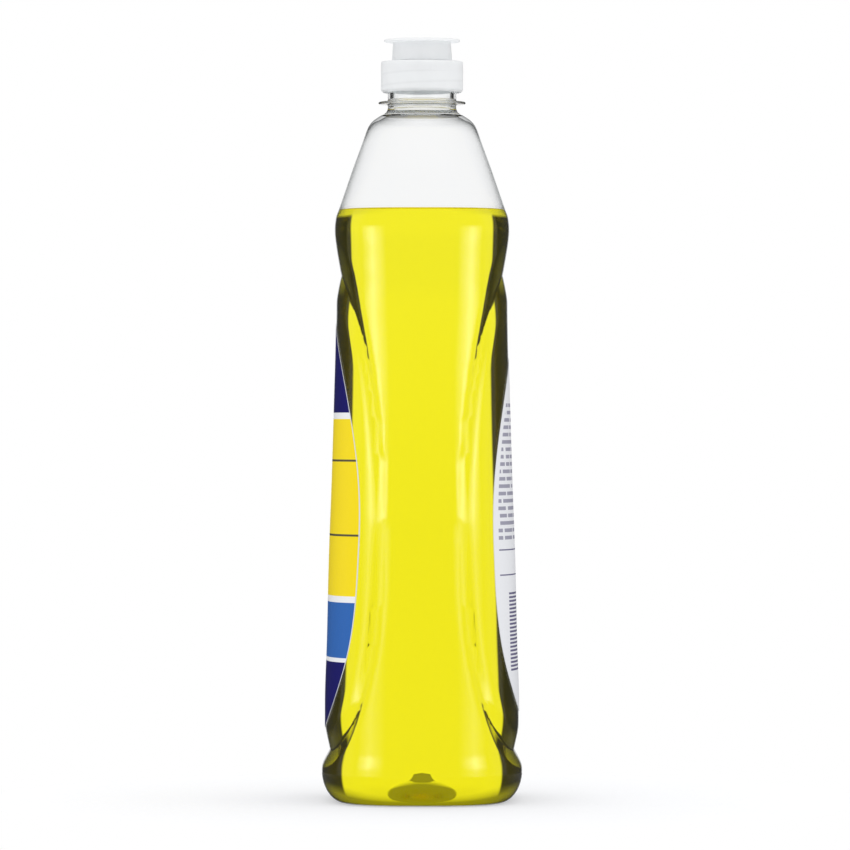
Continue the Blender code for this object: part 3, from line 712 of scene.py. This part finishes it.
def softened(corners):
    """An outline with rounded corners, each given as radius, height and reach of its rounding."""
    points = []
    count = len(corners)
    for number, (radius, height, reach) in enumerate(corners):
        here = np.array((radius, height))
        if reach <= 0.0:
            points.append(here)
            continue
        before = np.array(corners[number - 1][:2]) - here
        after = np.array(corners[(number + 1) % count][:2]) - here
        first = here + before * min(reach / np.linalg.norm(before), 0.5)
        last = here + after * min(reach / np.linalg.norm(after), 0.5)
        for step in range(ROUNDING_STEPS + 1):
            t = step / ROUNDING_STEPS
            points.append(first * (1.0 - t) ** 2 + here * 2.0 * t * (1.0 - t) + last * t * t)
    return points


def turned(outline, closed=True, ridge=None):
    """Vertices and faces of an outline turned about Z."""
    turns = 2.0 * math.pi * np.arange(TURN_STEPS) / TURN_STEPS
    outline = np.array(outline)
    radii = np.repeat(outline[:, :1], TURN_STEPS, axis=1)
    heights = np.repeat(outline[:, 1:], TURN_STEPS, axis=1)
    if ridge is not None:
        radii = radii + ridge(np.repeat(turns[None, :], len(outline), axis=0), heights, radii)
    vertices = np.stack((radii * np.cos(turns), radii * np.sin(turns), heights), axis=-1).reshape(-1, 3)
    faces = []
    bands = len(outline) if closed else len(outline) - 1
    for band in range(bands):
        low = band * TURN_STEPS
        high = (band + 1) % len(outline) * TURN_STEPS
        for step in range(TURN_STEPS):
            after = (step + 1) % TURN_STEPS
            faces.append((low + step, low + after, high + after, high + step))
    if not closed:
        faces.append(tuple(range(TURN_STEPS)))
        faces.append(tuple((len(outline) - 1) * TURN_STEPS + step for step in range(TURN_STEPS))[::-1])
    return vertices, faces


def join_forms(forms):
    vertices = []
    faces = []
    for points, sides in forms:
        start = sum(len(part) for part in vertices)
        vertices.append(points)
        faces += [tuple(start + corner for corner in side) for side in sides]
    return np.concatenate(vertices), faces


def spoke_form(number):
    """One flat spoke from the plug's shank to the turret, with rounded edges."""
    turn = 2.0 * math.pi * number / SPOKE_COUNT
    half = SPOKE_WIDTH / 2.0
    low = DECK_BOTTOM + SPOKE_RISE
    high = low + SPOKE_HEIGHT
    edge = 0.0002
    section = ((-half + edge, low), (half - edge, low), (half, low + edge), (half, high - edge),
               (half - edge, high), (-half + edge, high), (-half, high - edge), (-half, low + edge))
    points = []
    for reach in (PLUG_RADIUS, (TURRET_BORE + TURRET_RADIUS) / 2.0):
        for across, height in section:
            points.append((reach * math.cos(turn) - across * math.sin(turn),
                           reach * math.sin(turn) + across * math.cos(turn), height))
    count = len(section)
    faces = [(step, (step + 1) % count, count + (step + 1) % count, count + step) for step in range(count)]
    faces += [tuple(range(count))[::-1], tuple(range(count, 2 * count))]
    return np.array(points), faces


def closure_piece(name, vertices, faces, material):
    piece = add_piece(name, vertices, faces, (material,))
    recalculate(piece.data)
    return piece


def build_collar(material):
    bead = TURRET_RADIUS + TURRET_BEAD
    corners = [
        (TURRET_BORE, TURRET_TOP, 0.0002),
        (bead - 0.0003, TURRET_TOP, 0.0002),
        (bead, TURRET_TOP - TURRET_BEAD_HEIGHT / 2.0, 0.0002),
        (bead, TURRET_TOP - TURRET_BEAD_HEIGHT, 0.0001),
        (TURRET_RADIUS, TURRET_TOP - TURRET_BEAD_HEIGHT, 0.0001),
        (TURRET_RADIUS, DECK_TOP, 0.0003),
        (COLLAR_RADIUS, DECK_TOP, 0.0006),
        (COLLAR_RADIUS, COLLAR_BOTTOM + 0.0010, 0.0003),
        (SKIRT_BORE + 0.0004, COLLAR_BOTTOM, 0.0002),
        (SKIRT_BORE, COLLAR_BOTTOM, 0.0003),
    ]
    outline = softened(corners + [(SKIRT_BORE, DECK_BOTTOM, 0.0), (TURRET_BORE, DECK_BOTTOM, 0.0)])
    bore_heights = np.arange(COLLAR_BOTTOM + 0.0006, DECK_BOTTOM - 0.0002, 0.0002)
    outline = outline[:-2] + [np.array((SKIRT_BORE, height)) for height in bore_heights] + outline[-2:]

    def ridge(turns, heights, radii):
        inner = np.abs(radii - SKIRT_BORE) < 0.00001
        room = np.clip((heights - COLLAR_BOTTOM - 0.0005) / 0.0004, 0.0, 1.0)
        room *= np.clip((DECK_BOTTOM - 0.0003 - heights) / 0.0004, 0.0, 1.0)
        raised = thread_ridge(turns, heights, CAP_THREAD_START, CAP_THREAD_HEIGHT, CAP_THREAD_FLAT)
        return -raised * inner * room

    plug = softened([(0.0002, PLUG_TOP, 0.0), (PLUG_TIP_RADIUS, PLUG_TOP, 0.0002),
                     (PLUG_RADIUS, PLUG_TOP - 0.0005, 0.0002), (PLUG_RADIUS, PLUG_SHOULDER, 0.0001),
                     (PLUG_SHANK_RADIUS, PLUG_SHOULDER, 0.0003), (PLUG_SHANK_RADIUS, DECK_BOTTOM, 0.0003),
                     (0.0002, DECK_BOTTOM, 0.0)])
    forms = [turned(outline, ridge=ridge), turned(plug, closed=False)]
    forms += [spoke_form(number) for number in range(SPOKE_COUNT)]
    return closure_piece("cap_collar_fine", *join_forms(forms), material)


def build_liner(material):
    outline = softened([(LINER_BORE, LINER_TOP, 0.0002), (LINER_RADIUS, LINER_TOP, 0.0002),
                        (LINER_RADIUS, LINER_BOTTOM, 0.0002), (LINER_BORE, LINER_BOTTOM, 0.0002)])
    return closure_piece("cap_liner_fine", *turned(outline), material)


def build_spout(material):
    outline = softened([
        (ORIFICE_RADIUS, SPOUT_TOP, 0.0003),
        (FLANGE_RADIUS, SPOUT_TOP, 0.0003),
        (FLANGE_RADIUS, SPOUT_TOP - FLANGE_THICKNESS, 0.0003),
        (SPOUT_TOP_RADIUS, SPOUT_TOP - FLANGE_THICKNESS, 0.0004),
        (SPOUT_FOOT_RADIUS, SPOUT_BOTTOM, 0.0003),
        (SPOUT_FOOT_BORE, SPOUT_BOTTOM, 0.0002),
        (SPOUT_FOOT_BORE, SPOUT_BEAD_TOP, 0.0002),
        (SPOUT_BORE, SPOUT_BEAD_TOP + 0.0004, 0.0002),
        (SPOUT_BORE, SPOUT_PLATE_BOTTOM, 0.0003),
        (TUBE_RADIUS, SPOUT_PLATE_BOTTOM, 0.0002),
        (TUBE_RADIUS, TUBE_BOTTOM, 0.0002),
        (ORIFICE_RADIUS, TUBE_BOTTOM, 0.0002),
    ])
    return closure_piece("pull_spout_fine", *turned(outline), material)


# Materials

def new_material(name):
    material = bpy.data.materials.new(name)
    material.use_nodes = True
    material.node_tree.nodes.clear()
    return material, material.node_tree


def add_node(tree, kind, inputs=None, **settings):
    """A node with its settings, its inputs given as numbers, colours or other nodes' sockets."""
    made = tree.nodes.new(kind)
    for name, value in settings.items():
        setattr(made, name, value)
    for name, value in (inputs or {}).items():
        if isinstance(value, bpy.types.NodeSocket):
            tree.links.new(value, made.inputs[name])
        else:
            made.inputs[name].default_value = value
    return made


def math_node(tree, operation, first, second=0.0, third=0.0, clamp=False):
    inputs = {0: first, 1: second, 2: third}
    return add_node(tree, "ShaderNodeMath", inputs, operation=operation, use_clamp=clamp).outputs[0]


def times(tree, first, second):
    return math_node(tree, "MULTIPLY", first, second)


def one_minus(tree, value):
    return math_node(tree, "SUBTRACT", 1.0, value)


def within(tree, value, span):
    """1 between the span's ends, 0 elsewhere."""
    low, high = span
    return times(tree, math_node(tree, "GREATER_THAN", value, low), math_node(tree, "LESS_THAN", value, high))


def mapped(tree, value, low, high, first=0.0, last=1.0):
    """Runs from the first level to the last while the value runs from low to high."""
    return add_node(tree, "ShaderNodeMapRange", {
        "Value": value, "From Min": low, "From Max": high, "To Min": first, "To Max": last}).outputs[0]


def ramp(tree, factor, stops, interpolation="LINEAR"):
    made = add_node(tree, "ShaderNodeValToRGB", {"Fac": factor})
    made.color_ramp.interpolation = interpolation
    elements = made.color_ramp.elements
    while len(elements) > 1:
        elements.remove(elements[-1])
    for number, (place, color) in enumerate(stops):
        element = elements[0] if number == 0 else elements.new(place)
        element.position = place
        element.color = (*color, 1.0)
    return made.outputs["Color"]


def mix_colors(tree, factor, first, second):
    first, second = ((*color, 1.0) if isinstance(color, tuple) else color for color in (first, second))
    return add_node(tree, "ShaderNodeMix", {0: factor, 6: first, 7: second}, data_type="RGBA").outputs[2]


def place_parts(tree):
    """X, Y and Z of the point on the piece, in metres."""
    place = add_node(tree, "ShaderNodeTexCoord").outputs["Object"]
    parts = add_node(tree, "ShaderNodeSeparateXYZ", {0: place})
    return place, parts.outputs


def noise_value(tree, place, scale, detail):
    made = add_node(tree, "ShaderNodeTexNoise", {"Vector": place, "Scale": scale, "Detail": detail})
    return made.outputs["Fac"]


def bump(tree, place, scale, distance):
    """Normal of a surface with small waves: how many to a metre, and how deep."""
    waves = noise_value(tree, place, scale, 2.0)
    return add_node(tree, "ShaderNodeBump", {"Height": waves, "Distance": distance}).outputs["Normal"]


def grain_shade(tree, noise, grain):
    """Brightness that varies about 1."""
    return math_node(tree, "MULTIPLY_ADD", noise, grain, 1.0 - grain / 2.0)


def scaled(tree, color, shade):
    made = add_node(tree, "ShaderNodeVectorMath", {0: color, "Scale": shade}, operation="SCALE")
    return made.outputs[0]


def mix_shaders(tree, factor, first, second):
    inputs = {0: factor, 1: first.outputs[0], 2: second.outputs[0]}
    return add_node(tree, "ShaderNodeMixShader", inputs).outputs[0]


def border_distance(tree):
    return add_node(tree, "ShaderNodeAttribute", attribute_name="from_border").outputs["Fac"]


def finished(material, surface, volume=None):
    tree = material.node_tree
    output = add_node(tree, "ShaderNodeOutputMaterial", {"Surface": surface})
    if volume is not None:
        tree.links.new(volume, output.inputs["Volume"])
    return material


def refracting(tree, color, roughness, ior, normal):
    return add_node(tree, "ShaderNodeBsdfPrincipled", {
        "Base Color": color, "Roughness": roughness, "IOR": ior, "Transmission Weight": 1.0,
        "Normal": normal})


def film_material():
    """Thin clear wall: see-through and glossy, with painted shade that darkens it where it is seen edge-on.
    """
    material, tree = new_material("clear_pet_film")
    place, parts = place_parts(tree)
    normal = bump(tree, place, 55.0, 0.00012)
    facing = add_node(tree, "ShaderNodeLayerWeight", {"Blend": 0.5}).outputs["Facing"]
    # Painted shade: the see-through colour turns darker where the wall is seen edge-on, and darker still
    # towards the neck
    thicker = mapped(tree, parts["Z"], DARKENS_FROM, DARK_FROM)
    power = math_node(tree, "MULTIPLY_ADD", thicker, THICK_EDGE_POWER - THIN_EDGE_POWER, THIN_EDGE_POWER)
    edge = math_node(tree, "POWER", facing, power)
    painted_edge_shade = mix_colors(tree, thicker, THIN_EDGE_PAINTED_SHADE, THICK_EDGE_PAINTED_SHADE)
    tint = mix_colors(tree, edge, FILM_TONE, painted_edge_shade)
    clear = add_node(tree, "ShaderNodeBsdfTransparent", {"Color": tint})
    gloss = add_node(tree, "ShaderNodeBsdfGlossy", {"Roughness": 0.09, "Normal": normal})
    fresnel = add_node(tree, "ShaderNodeFresnel", {"IOR": 1.50}).outputs[0]
    back = add_node(tree, "ShaderNodeNewGeometry").outputs["Backfacing"]
    factor = times(tree, fresnel, one_minus(tree, back))
    over_soap = mapped(tree, parts["Z"], FILL_HEIGHT, FILL_HEIGHT + GLOSS_FADE, 1.0, GLOSS_ABOVE_SOAP)
    factor = times(tree, factor, over_soap)
    return finished(material, mix_shaders(tree, factor, clear, gloss))


def solid_clear_material():
    """Thick clear wall, which lets light on through to what lies behind it."""
    material, tree = new_material("clear_pet_solid")
    place, _ = place_parts(tree)
    shader = refracting(tree, (0.97, 0.98, 0.98, 1.0), 0.03, 1.57, bump(tree, place, 160.0, 0.00003))
    clear = add_node(tree, "ShaderNodeBsdfTransparent", {"Color": (0.93, 0.94, 0.94, 1.0)})
    scattered = add_node(tree, "ShaderNodeLightPath").outputs["Is Diffuse Ray"]
    return finished(material, mix_shaders(tree, scattered, shader, clear))


def soap_material():
    material, tree = new_material("yellow_soap")
    place, _ = place_parts(tree)
    shader = refracting(tree, (1.0, 1.0, 1.0, 1.0), 0.0, 1.37, bump(tree, place, 40.0, 0.00006))
    volume = add_node(tree, "ShaderNodeVolumeAbsorption", {
        "Color": (0.998, 0.9775, 0.02, 1.0), "Density": 49.0})
    return finished(material, shader.outputs[0], volume.outputs[0])


def print_material(name, fields, border_color, roughness, grain, rows=None):
    """Printed film: fields of colour by height, with a pale line at its border."""
    material, tree = new_material(name)
    place, parts = place_parts(tree)
    stops = [(height / FIELDS_HEIGHT, color) for height, color in fields]
    color = ramp(tree, math_node(tree, "DIVIDE", parts["Z"], FIELDS_HEIGHT), stops, "CONSTANT")
    if rows is not None:
        color = rows(tree, parts, color)
    noise = noise_value(tree, place, 900.0, 3.0)
    shade = scaled(tree, color, grain_shade(tree, noise, grain))
    border = math_node(tree, "LESS_THAN", border_distance(tree), BORDER_WIDTH)
    shader = add_node(tree, "ShaderNodeBsdfPrincipled", {
        "Base Color": mix_colors(tree, border, shade, border_color), "Specular IOR Level": 0.08,
        "Roughness": math_node(tree, "MULTIPLY_ADD", noise, 0.08, roughness),
        "Normal": bump(tree, place, 90.0, 0.00008)})
    return finished(material, shader.outputs[0])


def text_rows(tree, parts, ground):
    """Plain broken rows, two rules and a block of plain bars in place of small print."""

    def every(step, share):
        place = math_node(tree, "FRACT", math_node(tree, "DIVIDE", parts["Z"], step))
        return math_node(tree, "LESS_THAN", place, share)

    row = math_node(tree, "FLOOR", math_node(tree, "DIVIDE", parts["Z"], TEXT_STEP))
    across = times(tree, parts["X"], WORDS_PER_METRE)
    spot = add_node(tree, "ShaderNodeCombineXYZ", {"X": across, "Y": row, "Z": 0.0})
    words = math_node(tree, "GREATER_THAN", noise_value(tree, spot.outputs[0], 1.0, 0.0), WORD_THRESHOLD)
    rows = times(tree, times(tree, every(TEXT_STEP, 0.50), within(tree, parts["Z"], TEXT_HEIGHTS)), words)
    rules = math_node(tree, "ADD", *(within(tree, parts["Z"], rule) for rule in RULES))
    bars = times(tree, every(BAR_STEP, 0.55), within(tree, parts["Z"], BAR_HEIGHTS))
    bars = times(tree, bars, within(tree, parts["X"], BAR_SIDES))
    inked = 0.0
    for drawn, strength in ((rows, 0.66), (rules, 0.9), (bars, 0.92)):
        inked = math_node(tree, "MAXIMUM", inked, times(tree, drawn, strength))
    inside = math_node(tree, "GREATER_THAN", border_distance(tree), PRINT_MARGIN)
    return mix_colors(tree, times(tree, inked, inside), ground, INK)


def plain_material(name, color, roughness=0.5, specular=0.1, glow=0.0):
    material, tree = new_material(name)
    place, _ = place_parts(tree)
    tone = scaled(tree, color, grain_shade(tree, noise_value(tree, place, 700.0, 2.0), 0.04))
    shader = add_node(tree, "ShaderNodeBsdfPrincipled", {
        "Base Color": tone, "Roughness": roughness, "Specular IOR Level": specular,
        "Emission Color": tone, "Emission Strength": glow, "Normal": bump(tree, place, 1400.0, 0.00001)})
    return finished(material, shader.outputs[0])


def painted_thread_band(tree, parts):
    """Strength of the painted thread shade on the skirt: 1 along its ridge, 0 beside it."""
    laps = math_node(tree, "DIVIDE", math_node(tree, "ARCTAN2", parts["Y"], parts["X"]), 2.0 * math.pi)
    risen = math_node(tree, "SUBTRACT", parts["Z"], CAP_THREAD_START)
    along = math_node(tree, "ADD", math_node(tree, "DIVIDE", risen, THREAD_PITCH), 0.5)
    wave = math_node(tree, "FRACT", math_node(tree, "SUBTRACT", along, laps))
    off = math_node(tree, "ABSOLUTE", math_node(tree, "SUBTRACT", wave, 0.5))
    faded = math_node(tree, "DIVIDE", off, THREAD_SHADE_WIDTH)
    band = math_node(tree, "SUBTRACT", 1.0, faded, clamp=True)
    return times(tree, band, within(tree, parts["Z"], THREAD_SHADE_HEIGHTS))


def cap_material(name, color, painted_thread_shade=False):
    """Natural moulded plastic, with a little painted shade over the thread that shows through the skirt."""
    material, tree = new_material(name)
    place, parts = place_parts(tree)
    noise = noise_value(tree, place, 260.0, 3.0)
    shade = grain_shade(tree, noise, 0.05)
    if painted_thread_shade:
        # Painted shade: darker along the thread's ridge, standing in for its shadow seen through the skirt
        shade = math_node(tree, "SUBTRACT", shade, times(tree, painted_thread_band(tree, parts), THREAD_SHADE))
    shader = add_node(tree, "ShaderNodeBsdfPrincipled", {
        "Base Color": scaled(tree, color, shade), "IOR": 1.49, "Subsurface Weight": 0.4,
        "Roughness": math_node(tree, "MULTIPLY_ADD", noise, 0.08, CAP_ROUGHNESS),
        "Subsurface Scale": 0.004, "Subsurface Radius": (1.0, 1.0, 1.0),
        "Normal": bump(tree, place, 900.0, 0.00001)})
    return finished(material, shader.outputs[0])


# Light, floor and camera

def build_world():
    """A light tent: white backlight, dark flags beside it and two tall soft boxes in front."""
    world = scene.world = bpy.data.worlds.new("studio")
    world.use_nodes = True
    world.cycles.sampling_method = "NONE"
    tree = world.node_tree
    tree.nodes.clear()
    ray = add_node(tree, "ShaderNodeTexCoord").outputs["Generated"]
    parts = add_node(tree, "ShaderNodeSeparateXYZ", {0: ray}).outputs
    sideways = math_node(tree, "ABSOLUTE", parts["Y"])
    off_axis = math_node(tree, "ARCTAN2", sideways, times(tree, parts["X"], -1.0))
    share = math_node(tree, "DIVIDE", off_axis, math.pi)

    def round_about(stops):
        """Light level by the angle off the backlight's middle, from stops in degrees."""
        shades = [(angle / 180.0, (level / BRIGHTEST,) * 3) for angle, level in stops]
        return times(tree, ramp(tree, share, shades), BRIGHTEST)

    def by_height(span):
        """Runs from 0 to 1 between two elevations in degrees."""
        low, high = (math.sin(math.radians(angle)) for angle in span)
        return mapped(tree, parts["Z"], low, high)

    def between(level, other, share):
        return math_node(tree, "ADD", times(tree, level, one_minus(tree, share)), times(tree, share, other))

    through = round_about(((0, 1.04), (22.9, 1.04), (24.3, 0.03), (58, 0.03), (64, 0.8), (100, 0.8),
                           (110, 0.35), (180, 0.35)))
    mirrored = round_about(((0, 1.0), (5, 1.0), (9, 0.05), (58, 0.05), (64, 0.25), (95, 0.25),
                            (110, 0.12), (180, 0.12)))
    boxes = round_about(((0, 0.0), (108, 0.0), (123, 2.0), (134, 4.0), (143, 2.2), (158, 0.0), (180, 0.0)))
    box_rows = times(tree, by_height(BOX_TOP), by_height(BOX_BOTTOM))
    dimmed_rows = times(tree, by_height(DIMMED_TOP), by_height(DIMMED_BOTTOM))
    box_rows = times(tree, box_rows, math_node(tree, "MULTIPLY_ADD", dimmed_rows, -DIMMING, 1.0))
    path = add_node(tree, "ShaderNodeLightPath").outputs
    passed = path["Is Transmission Ray"]
    bounced = times(tree, path["Is Glossy Ray"], one_minus(tree, passed))
    soft = one_minus(tree, math_node(tree, "MAXIMUM", path["Is Glossy Ray"], passed))
    plain = math_node(tree, "MULTIPLY_ADD", parts["Z"], -PLAIN_FALL, PLAIN_LEVEL)
    mirrored = between(mirrored, CEILING_LEVEL, by_height(CEILING))
    lit = math_node(tree, "ADD", mirrored, times(tree, boxes, box_rows))
    through = between(between(through, ABOVE_LEVEL, by_height(ABOVE_BACKDROP)), BELOW_LEVEL,
                      by_height(BELOW_BACKDROP))
    seen = math_node(tree, "ADD", times(tree, through, passed), times(tree, lit, bounced))
    seen = math_node(tree, "ADD", seen, times(tree, plain, soft))
    camera = path["Is Camera Ray"]
    strength = math_node(tree, "ADD", camera, times(tree, seen, one_minus(tree, camera)))
    background = add_node(tree, "ShaderNodeBackground", {"Color": (1.0, 1.0, 1.0, 1.0), "Strength": strength})
    add_node(tree, "ShaderNodeOutputWorld", {"Surface": background.outputs[0]})


def build_floor():
    form = bmesh.new()
    bmesh.ops.create_circle(form, cap_ends=True, radius=FLOOR_RADIUS, segments=FLOOR_STEPS)
    mesh = bpy.data.meshes.new("floor")
    form.to_mesh(mesh)
    form.free()
    material, tree = new_material("floor_white")
    bounced = add_node(tree, "ShaderNodeLightPath").outputs["Is Glossy Ray"]
    tone = mix_colors(tree, bounced, (0.58, 0.585, 0.60), (0.10, 0.10, 0.10))
    diffuse = add_node(tree, "ShaderNodeBsdfDiffuse", {"Color": tone})
    lit = times(tree, one_minus(tree, bounced), FLOOR_GLOW)
    glow = add_node(tree, "ShaderNodeEmission", {"Strength": lit})
    both = add_node(tree, "ShaderNodeAddShader", {0: diffuse.outputs[0], 1: glow.outputs[0]})
    mesh.materials.append(finished(material, both.outputs[0]))
    floor = place_object("floor", mesh)
    floor.visible_transmission = False


def build_camera():
    data = bpy.data.cameras.new("camera")
    data.sensor_width = SENSOR_WIDTH
    data.lens = SENSOR_WIDTH * CAMERA_DISTANCE / FRAME_WIDTH
    data.clip_start = 0.05
    camera = place_object("camera", data)
    camera.location = (CAMERA_DISTANCE, CAMERA_SIDE, CAMERA_HEIGHT)
    camera.rotation_euler = (math.pi / 2.0, 0.0, math.pi / 2.0)
    bpy.context.scene.camera = camera


def build_object():
    """Every piece with the node it stands for, its body and its slot."""
    front = print_material("front_print", front_fields, (0.70, 0.71, 0.74), roughness=0.30, grain=0.05)
    back = print_material("back_print", back_fields, (0.72, 0.73, 0.76), roughness=0.38, grain=0.04,
                          rows=text_rows)
    # The labels' inner sides glow with painted light in place of the light that comes through the soap
    front_hidden = plain_material("front_print_inside", (0.60, 0.60, 0.62), glow=HIDDEN_PAINTED_LIGHT)
    back_hidden = plain_material("back_print_inside", (0.72, 0.73, 0.74), glow=HIDDEN_PAINTED_LIGHT)
    cap_plastic = cap_material("cap_plastic", (0.89, 0.91, 0.93), painted_thread_shade=True)
    foam = plain_material("liner_foam", (0.88, 0.88, 0.86), roughness=0.8, specular=0.2)
    spout_plastic = cap_material("spout_plastic", (0.91, 0.93, 0.945))
    for piece, node, body, slot in (
        (build_bottle(film_material(), solid_clear_material()), "bottle", "body", "clear_pet"),
        (build_soap(soap_material()), "soap", "body", "yellow_soap"),
        (build_label("front_label_film", -1.0, FRONT_LABEL_SIZE, front, front_hidden),
         "front_label", "body", "front_print"),
        (build_label("back_label_film", 1.0, BACK_LABEL_SIZE, back, back_hidden),
         "back_label", "body", "back_print"),
        (build_collar(cap_plastic), "cap_collar", "cap", "cap_plastic"),
        (build_liner(foam), "cap_liner", "liner", "liner_foam"),
        (build_spout(spout_plastic), "pull_spout", "spout", "spout_plastic"),
    ):
        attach(piece, body)
        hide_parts(node)


build_object()
build_world()
build_floor()
build_camera()

scene.view_settings.view_transform = "Standard"
scene.cycles.max_bounces = 20
scene.cycles.transmission_bounces = 20
scene.cycles.transparent_max_bounces = 40
scene.cycles.glossy_bounces = 8
scene.cycles.caustics_refractive = False
scene.cycles.caustics_reflective = False
